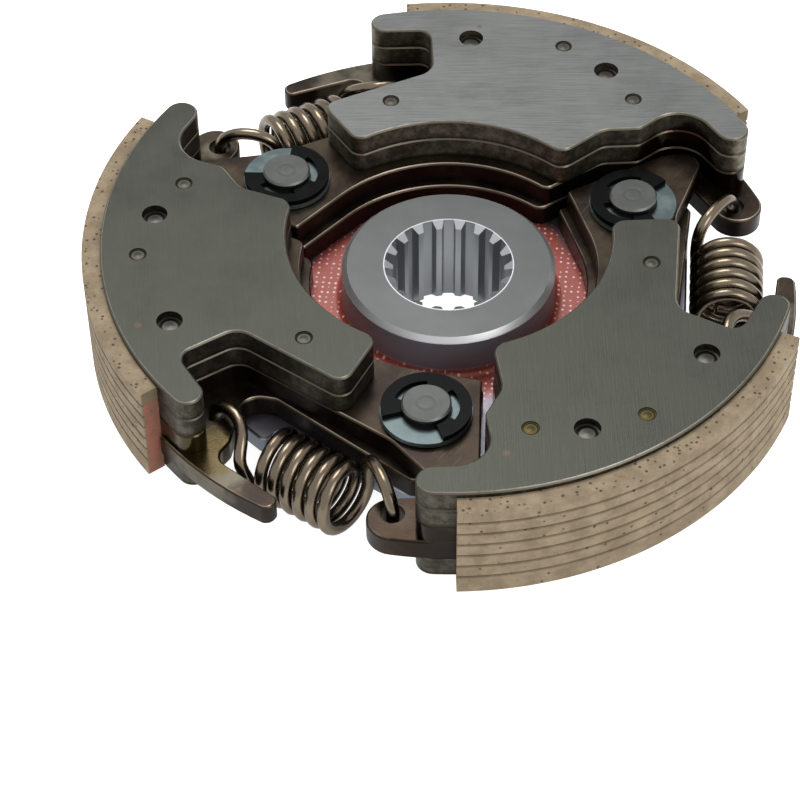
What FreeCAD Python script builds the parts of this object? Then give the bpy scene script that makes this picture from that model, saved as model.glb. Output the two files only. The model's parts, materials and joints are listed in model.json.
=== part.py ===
import FreeCAD, Part
import os
from math import acos, atan2, cos, hypot, pi, radians, sin, sqrt

# Centrifugal clutch: a splined carrier with three laminated shoes on pivot pins.
# Each shoe is a riveted stack of five stamped plates with a friction lining round its
# outside, and a hook spring pulls it to the next shoe. Speed throws the shoes outwards
# against a drum. Millimetres, Z is the turning axis, and Z = 0 is the hub's lower face.

Vector = FreeCAD.Vector
UP = Vector(0, 0, 1)
ORIGIN = Vector(0, 0, 0)

# Layout
shoe_count = 3
first_pin_angle = -90.0

# Carrier: hub, collar and drive plate in one piece
hub_height = 20.0
collar_radius = 20.4
collar_chamfer = 1.0
collar_foot_fillet = 1.5
boss_radius = 17.5
boss_chamfer = 0.6
flange_bottom = 7.1
flange_thickness = 4.0
flange_edge_chamfer = 0.4
notch_floor_rounding = 2.4
notch_mouth_rounding = 1.6
notch_run_out_rounding = 4.0
notch_floor_clearance = 0.4
notch_side_room = 3.0

# Internal spline of the hub
spline_groove_count = 18
spline_root_radius = 12.25
spline_tip_radius = 10.63
spline_root_width = 1.95
spline_mouth_width = 2.6
spline_lead_in_depth = 0.93
spline_first_angle = 95.6

# Shoe plates
plate_pitch = 4.4
plate_gap = 0.1
plate_edge_chamfer = 0.4
shoe_running_gap = 0.3
lower_arm_room = 6.1
upper_arm_set_back = 1.7
body_set_back = 2.5
eye_inner_wall = 10.9
flange_margin = 11.4
bottom_plate_gap = 1.5
bottom_plate_width = 13.5
tab_step = 0.8
lower_arm_inner_radius = collar_radius + lower_arm_room
arm_inner_radius = lower_arm_inner_radius + upper_arm_set_back
body_inner_radius = arm_inner_radius + body_set_back
pin_circle_radius = arm_inner_radius + eye_inner_wall
flange_radius = pin_circle_radius + flange_margin
bottom_inner_radius = flange_radius + bottom_plate_gap
plate_outer_radius = bottom_inner_radius + bottom_plate_width
tab_outer_radius = plate_outer_radius + tab_step
nose_tip_radii = (3.2, 2.9)
nose_angles = (-116.5, -42.2)
tab_start_angle = -46.2

# Friction lining
lining_thickness = 3.5
lining_radius = plate_outer_radius + lining_thickness
lining_height = 21.2
lining_foot_drop = 0.5
lining_angles = (-112.9, -46.9)
lining_groove_count = 6
lining_groove_first = 4.0
lining_groove_pitch = 2.87
lining_groove_width = 0.7
lining_groove_depth = 0.5

# Pivot pins, washers and retaining clips
pin_radius = 4.6
pin_running_clearance = 0.05
pin_rise = 3.1
pin_top_chamfer = 0.35
pin_spigot_radius = 3.6
pin_tail_radius = 4.6
pin_tail_height = 0.9
pin_tail_chamfer = 0.4
washer_radius = 8.4
washer_thickness = 1.0
washer_clearance = 0.1
clip_radius = 8.3
clip_inner_radius = 6.1
clip_thickness = 1.0
clip_clearance = 0.05
clip_groove_radius = 3.7
clip_opening_half_angle = 47.0
clip_back_prong_half_angle = 24.0
clip_side_prong_start = 98.0
clip_opening_directions = (250.6, -3.4, 137.6)

# Rivets and dowels, as (radius from the clutch's axis, angle from the shoe's own pin)
rivet_radius = 1.65
dowel_radius = 2.4
stud_clearance = 0.03
rivet_recess = 0.25
dowel_recess = 1.5
short_rivet_places = ((pin_circle_radius + 13.15, -98.2), (pin_circle_radius - 0.5, -36.9))
long_rivet_places = ((pin_circle_radius + 19.3, -77.4),)
dowel_places = ((pin_circle_radius + 16.7, -88.3), (pin_circle_radius + 17.2, -58.7))

# Springs and the holes that they hook into
spring_wire_radius = 1.2
spring_mean_radius = 6.0
spring_turns = 6.5
spring_pitch = 2.8
spring_overhang = 2.8
spring_axis_reach = flange_radius + spring_overhang
spring_axis_turn = -28.4
spring_axis_lift = 0.3
spring_start = -3.4
hook_hole_radius = 2.2
hook_tail = 0.8
anchor_hole = (pin_circle_radius + 16.0, -45.1)
link_hole = (pin_circle_radius + 20.5, -123.6)

# Link hook: an arch of three arcs, steep at both feet
arch_foot_lift = 4.0
arch_foot_bend = 3.2
arch_foot_turn = 50.0

# Anchor hook, as places from the coil's first end: outwards, along the coil and upwards
anchor_hook_way = ((0.3, -1.6, 2.7), (-1.0, -2.4, 4.5), (-3.4, -3.4, 6.3), (-5.3, -5.4, 7.3),
                   (-6.3, -7.9, 7.6), (-6.5, -10.6, 6.7))

# Worked-out heights
# The neighbouring shoes' plates slide between each other, with the gap over each plate as room
plate_thickness = plate_pitch - plate_gap
flange_top = flange_bottom + flange_thickness
lower_arm_bottom = flange_top + shoe_running_gap
bottom_plate_bottom = lower_arm_bottom - plate_pitch
upper_arm_bottom = lower_arm_bottom + plate_pitch
second_plate_bottom = upper_arm_bottom + plate_pitch
top_plate_bottom = second_plate_bottom + plate_pitch
shoe_top = top_plate_bottom + plate_thickness
washer_bottom = second_plate_bottom + washer_clearance
clip_groove_bottom = washer_bottom + washer_thickness
clip_groove_height = clip_thickness + 2 * clip_clearance
pin_top = second_plate_bottom + pin_rise
spring_axis_height = flange_top + spring_axis_lift
coil_outer_radius = spring_mean_radius + spring_wire_radius
coil_length = spring_turns * spring_pitch


def place(radius, angle, height=0.0):
    """A point at a polar place, with angles counted from the first shoe's pin."""
    turn = radians(first_pin_angle + angle)
    return Vector(radius * cos(turn), radius * sin(turn), height)


def turned(shape, index):
    """The same shape, turned about the axis to its place among the shoes."""
    copy = shape.copy()
    copy.rotate(ORIGIN, UP, index * 360.0 / shoe_count)
    return copy


def cylinder(radius, height, centre):
    return Part.makeCylinder(radius, height, centre, UP)


def line(start, end):
    return Part.LineSegment(start, end).toShape()


def arc(start, middle, end):
    return Part.Arc(start, middle, end).toShape()


def ring_arc(radius, start_angle, end_angle):
    """An arc about the clutch's axis."""
    middle = place(radius, (start_angle + end_angle) / 2)
    return arc(place(radius, start_angle), middle, place(radius, end_angle))


def tangent_point(corner, centre, radius, side):
    """Where a line from a corner touches a circle, on its left (1) or right (-1)."""
    away = corner - centre
    reach = hypot(away.x, away.y)
    turn = atan2(away.y, away.x) + side * acos(radius / reach)
    return centre + Vector(cos(turn), sin(turn), 0) * radius


def nose_arc(nose_angle, tip_radius, corner, end):
    """The round tip of a nose, from the outer arc to the line that leads to a corner.
    The end is 1 at the shoe's counter-clockwise end and -1 at its clockwise end."""
    centre = place(plate_outer_radius - tip_radius, nose_angle)
    touch = tangent_point(corner, centre, tip_radius, -end)
    outer = centre + place(tip_radius, nose_angle)
    crest = centre + place(tip_radius, nose_angle + 90 * end)
    return arc(outer, crest, touch), touch


def rounded(solid, corners, tolerance=0.05):
    """Rounds the upright edges that stand at the given corners, each with its radius."""
    for point, radius in corners:
        found = [edge for edge in solid.Edges if stands_at(edge, point, tolerance)]
        if len(found) != 1:
            raise ValueError("no single edge at " + str(point))
        solid = solid.makeFillet(radius, found)
    return solid


def stands_at(edge, point, tolerance):
    first = edge.Vertexes[0].Point
    last = edge.Vertexes[-1].Point
    if hypot(first.x - last.x, first.y - last.y) > tolerance:
        return False
    return hypot(first.x - point.x, first.y - point.y) < tolerance


def plate(edges, corners, bottom):
    """A stamped plate: its outline raised by the plate's thickness, corners rounded."""
    face = Part.Face(Part.Wire(Part.__sortEdges__(edges)))
    face.translate(UP * bottom)
    return rounded(face.extrude(UP * plate_thickness), corners)


def pierced(solid, bottom, holes):
    """A plate with round holes, each given as a place and a radius."""
    cutters = [cylinder(radius, plate_thickness + 2, place(*where, bottom - 1)) for where, radius in holes]
    return solid.cut(Part.makeCompound(cutters))


def chain(points):
    """Straight edges from point to point."""
    return [line(start, end) for start, end in zip(points, points[1:])]


# Corners of the plates' outline, as (radius, angle from the pin) and a rounding radius
spring_pocket_mouth = ((pin_circle_radius + 19.7, -50.4), 2.6)
spring_pocket_floor = ((pin_circle_radius + 7.2, -50.1), 4.0)
toe_outer = ((pin_circle_radius + 4.8, -19.2), 2.6)
toe_inner = ((body_inner_radius, -18.6), 2.6)
heel_inner = ((body_inner_radius, -99.3), 3.0)
heel_outer = ((pin_circle_radius + 2.4, -100.8), 4.0)
eye_pocket_step = ((pin_circle_radius + 8.1, -106.4), 2.5)
eye_pocket_mouth = ((pin_circle_radius + 20.0, -106.0), 6.5)

# Corners of the two arm plates
arm_tip = ((arm_inner_radius, -96.6), 2.0)
arm_tangent_angle = -6.7
arm_tangent_run = 12.6
eye_heel_rounding = 0.8
eye_side = ((pin_circle_radius + 13.5, 12.0), 6.0)
eye_corner = ((pin_circle_radius + 22.0, 8.4), 3.5)
eye_foot = ((pin_circle_radius + 7.3, -7.0), 8.0)
lower_arm_tip = ((lower_arm_inner_radius, -96.4), 2.5)
lower_eye_corner = ((pin_circle_radius + 12.5, 10.6), 3.0)
lower_eye_foot = ((pin_circle_radius + 12.3, -1.8), 1.5)
cutout_floor = ((pin_circle_radius + 5.5, -39.4), 2.0)
cutout_corner = ((pin_circle_radius + 9.1, -45.2), 3.5)
relief_inner = ((pin_circle_radius + 18.6, -37.4), 2.0)
relief_outer = ((pin_circle_radius + 23.0, -36.8), 2.6)
tab_tip_inner = ((pin_circle_radius + 23.9, -22.7), 1.3)
tab_tip_outer = ((tab_outer_radius, -22.9), 1.8)
lobe_radius = 4.9
lobe_angle = -123.3
lobe_inner = ((pin_circle_radius + 15.4, -110.5), 3.0)

# Corners of the bottom plate's crescent
crescent_ends = (((bottom_inner_radius, -50.95), 2.0), ((bottom_inner_radius, -106.2), 2.0))


def point_of(corner):
    return place(*corner[0])


def rounding_of(*corners):
    return [(point_of(corner), corner[1]) for corner in corners]


def stud_holes(rivets_too=True):
    """The holes for rivets and dowels that a plate shares with its neighbours."""
    rivets = long_rivet_places + (short_rivet_places if rivets_too else ())
    holes = [(where, rivet_radius + stud_clearance) for where in rivets]
    return holes + [(where, dowel_radius + stud_clearance) for where in dowel_places]


def eased(solid, bottom):
    """Breaks the sharp rim of a plate's upper face all round its outline."""
    rim = [edge for edge in solid.Edges if edge.BoundBox.ZMin > bottom + plate_thickness - 0.01]
    return solid.makeChamfer(plate_edge_chamfer, rim)


def outer_edges(first_nose, last_nose):
    """The outer arc with its round noses, and where the noses' inner flanks start."""
    first, first_touch = nose_arc(nose_angles[0], nose_tip_radii[0], first_nose, -1)
    last, last_touch = nose_arc(nose_angles[1], nose_tip_radii[1], last_nose, 1)
    return [first, ring_arc(plate_outer_radius, *nose_angles), last], first_touch, last_touch


def weight_plate(bottom):
    """One of the two upper plates: a heavy segment with a spring pocket and a toe."""
    edges, first, last = outer_edges(point_of(eye_pocket_mouth), point_of(spring_pocket_mouth))
    front = [last] + [point_of(c) for c in (spring_pocket_mouth, spring_pocket_floor, toe_outer, toe_inner)]
    back = [point_of(c) for c in (heel_inner, heel_outer, eye_pocket_step, eye_pocket_mouth)] + [first]
    edges += chain(front) + [ring_arc(body_inner_radius, toe_inner[0][1], heel_inner[0][1])] + chain(back)
    corners = rounding_of(spring_pocket_mouth, spring_pocket_floor, toe_outer, toe_inner,
                          heel_inner, heel_outer, eye_pocket_step, eye_pocket_mouth)
    return pierced(eased(plate(edges, corners, bottom), bottom), bottom, stud_holes())


def tangent_run(radius):
    """The inner arc's end and the sharp corner that its straight run leads to."""
    start = place(radius, arm_tangent_angle)
    along = place(1, arm_tangent_angle + 90)
    return start, start + along * arm_tangent_run


def eye_hole():
    return ((pin_circle_radius, 0.0), pin_radius + pin_running_clearance)


def upper_arm_plate():
    """The plate that carries the shoe on its pin, with an eye and a long inner arm."""
    bottom = upper_arm_bottom
    edges, first, last = outer_edges(point_of(eye_pocket_mouth), point_of(spring_pocket_mouth))
    run_start, heel = tangent_run(arm_inner_radius)
    front = [last] + [point_of(c) for c in (spring_pocket_mouth, spring_pocket_floor, eye_foot,
                                            eye_corner, eye_side)] + [heel, run_start]
    back = [point_of(c) for c in (arm_tip, heel_outer, eye_pocket_step, eye_pocket_mouth)] + [first]
    edges += chain(front) + [ring_arc(arm_inner_radius, arm_tangent_angle, arm_tip[0][1])] + chain(back)
    corners = rounding_of(spring_pocket_mouth, spring_pocket_floor, eye_foot, eye_corner,
                          eye_side, arm_tip, heel_outer, eye_pocket_step, eye_pocket_mouth)
    corners.append((heel, eye_heel_rounding))
    return pierced(eased(plate(edges, corners, bottom), bottom), bottom, stud_holes() + [eye_hole()])


def lower_arm_plate():
    """The widest plate: a second eye and arm, and a tab at each end for a spring hook."""
    bottom = lower_arm_bottom
    lobe, lobe_touch = nose_arc(lobe_angle, lobe_radius, point_of(lobe_inner), -1)
    run_start, heel = tangent_run(lower_arm_inner_radius)
    edges = [lobe, ring_arc(plate_outer_radius, lobe_angle, tab_start_angle),
             line(place(plate_outer_radius, tab_start_angle), place(tab_outer_radius, tab_start_angle)),
             ring_arc(tab_outer_radius, tab_start_angle, tab_tip_outer[0][1])]
    edges += chain([point_of(c) for c in (tab_tip_outer, tab_tip_inner, relief_outer, relief_inner,
                                          cutout_corner, cutout_floor, lower_eye_foot, lower_eye_corner)]
                   + [heel, run_start])
    edges.append(ring_arc(lower_arm_inner_radius, arm_tangent_angle, lower_arm_tip[0][1]))
    edges += chain([point_of(c) for c in (lower_arm_tip, heel_outer, eye_pocket_step, lobe_inner)]
                   + [lobe_touch])
    corners = rounding_of(tab_tip_outer, tab_tip_inner, relief_outer, relief_inner, cutout_corner,
                          cutout_floor, lower_eye_foot, lower_eye_corner, lower_arm_tip, heel_outer,
                          eye_pocket_step, lobe_inner)
    corners.append((heel, eye_heel_rounding))
    holes = stud_holes() + [eye_hole(), (anchor_hole, hook_hole_radius), (link_hole, hook_hole_radius)]
    return pierced(eased(plate(edges, corners, bottom), bottom), bottom, holes)


def bottom_plate():
    """A crescent outside the drive plate that evens out the shoe's weight."""
    bottom = bottom_plate_bottom
    edges, first, last = outer_edges(point_of(eye_pocket_mouth), point_of(spring_pocket_mouth))
    near, far = crescent_ends
    edges += chain([last, point_of(spring_pocket_mouth), point_of(near)])
    edges.append(ring_arc(bottom_inner_radius, near[0][1], far[0][1]))
    edges += chain([point_of(far), point_of(eye_pocket_mouth), first])
    corners = rounding_of(spring_pocket_mouth, near, far, eye_pocket_mouth)
    return pierced(plate(edges, corners, bottom), bottom, stud_holes(rivets_too=False))


def lining():
    """A friction pad: a grooved band, turned through the angle that it covers."""
    inner = plate_outer_radius
    bottom = bottom_plate_bottom - lining_foot_drop
    top = bottom + lining_height
    half = lining_groove_width / 2
    outline = [(inner, bottom), (lining_radius, bottom)]
    for index in range(lining_groove_count):
        height = bottom + lining_groove_first + index * lining_groove_pitch
        outline += [(lining_radius, height - half), (lining_radius - lining_groove_depth, height),
                    (lining_radius, height + half)]
    outline += [(lining_radius, top), (inner, top), (inner, bottom)]
    section = Part.Face(Part.makePolygon([Vector(radius, 0, height) for radius, height in outline]))
    section.rotate(ORIGIN, UP, first_pin_angle + lining_angles[0])
    return section.revolve(ORIGIN, UP, lining_angles[1] - lining_angles[0])


def stud(radius, where, bottom, recess):
    return cylinder(radius, shoe_top - recess - bottom, place(*where, bottom))


def rivets():
    """Small rivets, a little below the top plate; two stop at the lower arm plate."""
    short = [stud(rivet_radius, where, lower_arm_bottom, rivet_recess) for where in short_rivet_places]
    long = [stud(rivet_radius, where, bottom_plate_bottom, rivet_recess) for where in long_rivet_places]
    return Part.makeCompound(short + long)


def dowels():
    """The larger dowels, set well below the top plate's face."""
    return Part.makeCompound([stud(dowel_radius, where, bottom_plate_bottom, dowel_recess)
                              for where in dowel_places])


def spring_frame():
    """The coil's axis direction, its inward direction, and the axis's nearest point."""
    outward = place(1, spring_axis_turn)
    along = place(1, spring_axis_turn + 90)
    foot = outward * spring_axis_reach + UP * spring_axis_height
    return along, outward * -1, foot


def wire_section(centre, direction):
    """A hexagon of wire, square to the direction that the wire runs in."""
    sides = 6
    across = direction.cross(UP)
    if across.Length < 0.1:
        across = direction.cross(Vector(1, 0, 0))
    across.normalize()
    other = direction.cross(across).normalize()
    corners = []
    for index in range(sides + 1):
        turn = 2 * pi * index / sides
        corners.append(centre + (across * cos(turn) + other * sin(turn)) * spring_wire_radius)
    corners[-1] = corners[0]
    return Part.makePolygon(corners)


def bend(start, heading, towards, radius, turn):
    """An arc that leaves a point in one direction and turns towards another, square to it."""
    half = radians(turn / 2)
    full = radians(turn)
    middle = start + heading * (radius * sin(half)) + towards * (radius * (1 - cos(half)))
    end = start + heading * (radius * sin(full)) + towards * (radius * (1 - cos(full)))
    return arc(start, middle, end), end, (heading * cos(full) + towards * sin(full)).normalize()


def link_hook(coil_end, hole):
    """An arch of three arcs from the coil's end to a hole, with a tail down through the plate."""
    foot = coil_end + UP * arch_foot_lift
    top = Vector(hole.x, hole.y, foot.z)
    across = (top - foot).normalize()
    crown_turn = 2 * (90 - arch_foot_turn)
    rise, crown_start, heading = bend(foot, UP, across, arch_foot_bend, arch_foot_turn)
    half_span = top.distanceToPoint(foot) / 2
    foot_span = arch_foot_bend * (1 - cos(radians(arch_foot_turn)))
    crown_radius = (half_span - foot_span) / sin(radians(crown_turn / 2))
    square = (across - heading * across.dot(heading)).normalize()
    crown, crown_end, heading = bend(crown_start, heading, square, crown_radius, crown_turn)
    square = (UP * -1 + heading * heading.dot(UP)).normalize()
    fall, fall_end, heading = bend(crown_end, heading, square, arch_foot_bend, arch_foot_turn)
    tail = Vector(hole.x, hole.y, lower_arm_bottom - hook_tail)
    path = Part.Wire([line(coil_end, foot), rise, crown, fall, line(fall_end, tail)])
    return path.makePipeShell([wire_section(coil_end, UP)], True, False)


def anchor_hook(coil_end, hole, outward, along):
    """Up out of the coil's first turn and over to a hole, with a tail down through the plate."""
    steps = [coil_end + outward * out + along * way + UP * lift for out, way, lift in anchor_hook_way]
    top = Vector(hole.x, hole.y, upper_arm_bottom)
    curve = Part.BSplineCurve()
    curve.interpolate(Points=[coil_end] + steps + [top], InitialTangent=UP, FinalTangent=UP * -1)
    tail = Vector(hole.x, hole.y, lower_arm_bottom - hook_tail)
    path = Part.Wire([curve.toShape(), line(top, tail)])
    return path.makePipeShell([wire_section(coil_end, UP)], True, False)


def spring():
    """A hook spring in one length of wire, from one shoe's tab to the next shoe's."""
    along, inward, foot = spring_frame()
    coil_path = Part.makeHelix(spring_pitch, coil_length, spring_mean_radius)
    start_direction = Vector(0, 2 * pi * spring_mean_radius, spring_pitch).normalize()
    start = Vector(spring_mean_radius, 0, 0)
    coil = coil_path.makePipeShell([wire_section(start, start_direction)], True, True)
    outward = inward * -1
    sideways = along.cross(outward)
    begin = foot + along * spring_start
    matrix = FreeCAD.Matrix(outward.x, sideways.x, along.x, begin.x,
                            outward.y, sideways.y, along.y, begin.y,
                            outward.z, sideways.z, along.z, begin.z,
                            0, 0, 0, 1)
    coil.transformShape(matrix)
    first_end = begin + outward * spring_mean_radius
    last_end = begin + along * coil_length + inward * spring_mean_radius
    next_shoe = 360.0 / shoe_count
    link = (link_hole[0], link_hole[1] + next_shoe)
    hooks = [anchor_hook(first_end, place(*anchor_hole), outward, along), link_hook(last_end, place(*link))]
    return coil.fuse(hooks)


def spline_cutter():
    """One groove of the spline, from the bore's tips out to its root."""
    root_half = spline_root_width / 2
    mouth_half = spline_mouth_width / 2
    inside = spline_tip_radius - 1
    outline = [(inside, -mouth_half), (spline_tip_radius, -mouth_half),
               (sqrt(spline_root_radius ** 2 - root_half ** 2), -root_half)]
    lower = [Vector(x, y, -1) for x, y in outline]
    upper = [Vector(x, -y, -1) for x, y in reversed(outline)]
    root = arc(lower[-1], Vector(spline_root_radius, 0, -1), upper[0])
    edges = chain(lower) + [root] + chain(upper) + [line(upper[-1], lower[0])]
    return Part.Face(Part.Wire(edges)).extrude(UP * (hub_height + 2))


def is_level_ring(edge, radius, height):
    """Whether an edge is the circle about the axis with this radius and height."""
    box = edge.BoundBox
    near = 0.01
    return box.ZLength < near and abs(box.ZMax - height) < near and abs(box.XMax - radius) < near


def drive_plate():
    """The round plate under the shoes, with a notch for each coil that runs out into the rim."""
    along, inward, _ = spring_frame()
    outward = inward * -1
    reach = spring_axis_reach - coil_outer_radius - notch_floor_clearance
    side = spring_start - notch_side_room
    floor_start = outward * reach + along * side
    run_out = outward * reach + along * sqrt(flange_radius ** 2 - reach ** 2)
    mouth = outward * sqrt(flange_radius ** 2 - side ** 2) + along * side
    past_rim = flange_radius + 1
    outline = [floor_start, outward * reach + along * past_rim,
               outward * past_rim + along * past_rim, outward * past_rim + along * side, floor_start]
    notch = Part.Face(Part.makePolygon(outline)).extrude(UP * hub_height)
    plain = cylinder(flange_radius, flange_thickness, UP * flange_bottom)
    plate_ = plain.cut(Part.makeCompound([turned(notch, index) for index in range(shoe_count)]))
    corners = [(floor_start, notch_floor_rounding), (mouth, notch_mouth_rounding),
               (run_out, notch_run_out_rounding)]
    for index in range(shoe_count):
        turn = FreeCAD.Rotation(UP, index * 360.0 / shoe_count)
        plate_ = rounded(plate_, [(turn.multVec(point), radius) for point, radius in corners])
    rim = [edge for edge in plate_.Edges if edge.BoundBox.ZLength < 0.01]
    return plate_.makeChamfer(flange_edge_chamfer, rim)


def carrier():
    """Hub and collar turned and set on the drive plate, then splined and drilled."""
    middle = flange_bottom + flange_thickness / 2
    outline = [(0, 0), (boss_radius - boss_chamfer, 0), (boss_radius, boss_chamfer),
               (boss_radius, middle), (collar_radius, middle), (collar_radius, hub_height - collar_chamfer),
               (collar_radius - collar_chamfer, hub_height), (0, hub_height), (0, 0)]
    face = Part.Face(Part.makePolygon([Vector(radius, 0, height) for radius, height in outline]))
    body = face.revolve(ORIGIN, UP, 360).fuse(drive_plate())
    foot = [edge for edge in body.Edges if is_level_ring(edge, collar_radius, flange_top)]
    body = body.makeFillet(collar_foot_fillet, foot)
    body = body.cut(cylinder(spline_tip_radius, hub_height + 2, UP * -1))
    tool = spline_cutter()
    grooves = []
    for index in range(spline_groove_count):
        groove = tool.copy()
        groove.rotate(ORIGIN, UP, spline_first_angle + index * 360.0 / spline_groove_count)
        grooves.append(groove)
    body = body.cut(Part.makeCompound(grooves))
    lead_in = Part.makeCone(spline_root_radius, spline_tip_radius, spline_lead_in_depth, ORIGIN, UP)
    upper_lead_in = Part.makeCone(spline_tip_radius, spline_root_radius, spline_lead_in_depth,
                                  UP * (hub_height - spline_lead_in_depth), UP)
    body = body.cut(Part.makeCompound([lead_in, upper_lead_in]))
    seat_centre = place(pin_circle_radius, 0, flange_bottom - 1)
    pin_seat = cylinder(pin_spigot_radius, flange_thickness + 2, seat_centre)
    return body.cut(Part.makeCompound([turned(pin_seat, index) for index in range(shoe_count)]))


def pivot_pin():
    """A shouldered pin with a clip groove, riveted over under the drive plate."""
    groove_top = clip_groove_bottom + clip_groove_height
    tail_end = flange_bottom - pin_tail_height
    outline = [(0, tail_end), (pin_tail_radius - pin_tail_chamfer, tail_end),
               (pin_tail_radius, tail_end + pin_tail_chamfer), (pin_tail_radius, flange_bottom),
               (pin_spigot_radius, flange_bottom), (pin_spigot_radius, flange_top),
               (pin_radius, flange_top), (pin_radius, clip_groove_bottom),
               (clip_groove_radius, clip_groove_bottom), (clip_groove_radius, groove_top),
               (pin_radius, groove_top), (pin_radius, pin_top - pin_top_chamfer),
               (pin_radius - pin_top_chamfer, pin_top), (0, pin_top)]
    points = [Vector(radius, 0, height) for radius, height in outline]
    face = Part.Face(Part.makePolygon(points + [points[0]]))
    pin = face.revolve(ORIGIN, UP, 360)
    pin.translate(place(pin_circle_radius, 0))
    return pin


def washer():
    centre = place(pin_circle_radius, 0, washer_bottom)
    disc = cylinder(washer_radius, washer_thickness, centre)
    return disc.cut(cylinder(pin_radius + pin_running_clearance * 2, washer_thickness, centre))


def sector(radius, height, start, end):
    """A slice of a disc about Z, between two angles."""
    slice_ = Part.makeCylinder(radius, height, ORIGIN, UP, end - start)
    slice_.rotate(ORIGIN, UP, start)
    return slice_


def retaining_clip(opening_direction):
    """An open clip with three prongs that reach into the pin's groove."""
    grip = clip_groove_radius + clip_clearance
    disc = Part.makeCylinder(clip_radius, clip_thickness)
    back = opening_direction + 180
    cutters = [Part.makeCylinder(grip, clip_thickness)]
    cutters.append(sector(clip_radius + 1, clip_thickness, opening_direction - clip_opening_half_angle,
                          opening_direction + clip_opening_half_angle))
    cutters.append(sector(clip_inner_radius, clip_thickness, back + clip_back_prong_half_angle,
                          back + clip_side_prong_start))
    cutters.append(sector(clip_inner_radius, clip_thickness, back - clip_side_prong_start,
                          back - clip_back_prong_half_angle))
    clip = disc.cut(cutters)
    clip.translate(place(pin_circle_radius, 0, clip_groove_bottom + clip_clearance))
    return clip


def export(shape, name):
    shape.exportStep("parts/" + name + ".step")


def main():
    os.makedirs("parts", exist_ok=True)
    export(carrier(), "carrier")
    shoe_parts = {"top_plate": weight_plate(top_plate_bottom),
                  "second_plate": weight_plate(second_plate_bottom),
                  "upper_arm_plate": upper_arm_plate(), "lower_arm_plate": lower_arm_plate(),
                  "bottom_plate": bottom_plate(), "lining": lining(), "rivets": rivets(),
                  "dowels": dowels(), "spring": spring(), "pivot_pin": pivot_pin(), "washer": washer()}
    for index in range(shoe_count):
        number = str(index + 1)
        for name, shape in shoe_parts.items():
            export(turned(shape, index), name + "_" + number)
        local_direction = clip_opening_directions[index] - index * 360.0 / shoe_count
        export(turned(retaining_clip(local_direction), index), "retaining_clip_" + number)


main()
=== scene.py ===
# %% [markdown]
# # A centrifugal clutch, dressed for the camera
# Three stacks of stamped plates swing on pins round a splined hub. The solids come from the
# engineering model and stay as they are. This lesson gives them their finishes, swaps the
# plain springs for smooth ones, and sets the camera and the light.

# %% Load the solids
import json
from math import cos, pi, radians, sin

import bmesh
import bpy
from mathutils import Euler, Matrix, Vector


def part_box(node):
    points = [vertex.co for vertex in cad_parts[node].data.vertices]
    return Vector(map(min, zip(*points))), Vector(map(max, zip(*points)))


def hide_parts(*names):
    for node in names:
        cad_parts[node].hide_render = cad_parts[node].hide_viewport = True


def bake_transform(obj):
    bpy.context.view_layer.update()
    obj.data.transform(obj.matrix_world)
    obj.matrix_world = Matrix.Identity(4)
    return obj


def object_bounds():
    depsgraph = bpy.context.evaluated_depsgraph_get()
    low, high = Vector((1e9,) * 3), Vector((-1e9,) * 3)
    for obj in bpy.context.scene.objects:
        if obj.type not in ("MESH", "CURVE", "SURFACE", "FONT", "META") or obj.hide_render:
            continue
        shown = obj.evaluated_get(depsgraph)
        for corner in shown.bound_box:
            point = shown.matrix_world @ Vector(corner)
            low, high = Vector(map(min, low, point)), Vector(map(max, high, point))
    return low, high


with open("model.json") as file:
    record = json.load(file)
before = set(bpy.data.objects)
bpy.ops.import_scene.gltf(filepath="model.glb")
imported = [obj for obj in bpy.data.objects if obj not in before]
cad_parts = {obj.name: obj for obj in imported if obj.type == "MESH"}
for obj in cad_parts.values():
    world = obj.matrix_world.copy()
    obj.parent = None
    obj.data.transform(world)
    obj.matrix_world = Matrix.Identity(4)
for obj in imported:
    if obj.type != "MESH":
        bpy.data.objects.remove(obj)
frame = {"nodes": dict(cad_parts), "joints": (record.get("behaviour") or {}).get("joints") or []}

solid_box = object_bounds()
nodes = frame["nodes"]
shoe_numbers = (1, 2, 3)
mm = 0.001
print("solids", len(nodes), "size", [round(v, 4) for v in solid_box[1] - solid_box[0]])

# %% [markdown]
# ## Places on the clutch
# The turning axis is Z. Each shoe has its own pin, a third of a turn from the next, so one
# function that counts its angle from the shoe's pin serves all three shoes.

# %% Places
pin_radius_from_axis = Vector(frame["joints"][0]["pos_m"]).xy.length
first_pin_angle = -90.0


def around(radius, angle, shoe=1, height=0.0):
    """A point in metres, from a radius and height in millimetres and an angle from a pin."""
    turn = radians(first_pin_angle + angle + (shoe - 1) * 360 / len(shoe_numbers))
    return Vector((radius * cos(turn), radius * sin(turn), height)) * mm


print("pins stand", round(pin_radius_from_axis / mm, 2), "mm from the axis")

# %% [markdown]
# ## Helpers for materials
# A finish is a network of nodes. One helper adds a node and fills its inputs, with a value or
# a link, so that each finish below reads as a short list of what it is made of.

# %% Material helpers


def add(tree, kind, inputs=None, **settings):
    """Adds a shader node. Inputs are values, or other nodes' outputs, which are linked."""
    node = tree.nodes.new("ShaderNode" + kind)
    for name, value in settings.items():
        setattr(node, name, value)
    for name, value in (inputs or {}).items():
        socket = node.inputs[name]
        if isinstance(value, bpy.types.NodeSocket):
            tree.links.new(value, socket)
        else:
            socket.default_value = value
    return node


def mix(tree, share, first, second):
    """A colour between two others."""
    return add(tree, "Mix", {0: share, 6: first, 7: second}, data_type="RGBA").outputs[2]


def maths(tree, operation, *values):
    return add(tree, "Math", dict(enumerate(values)), operation=operation).outputs[0]


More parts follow.
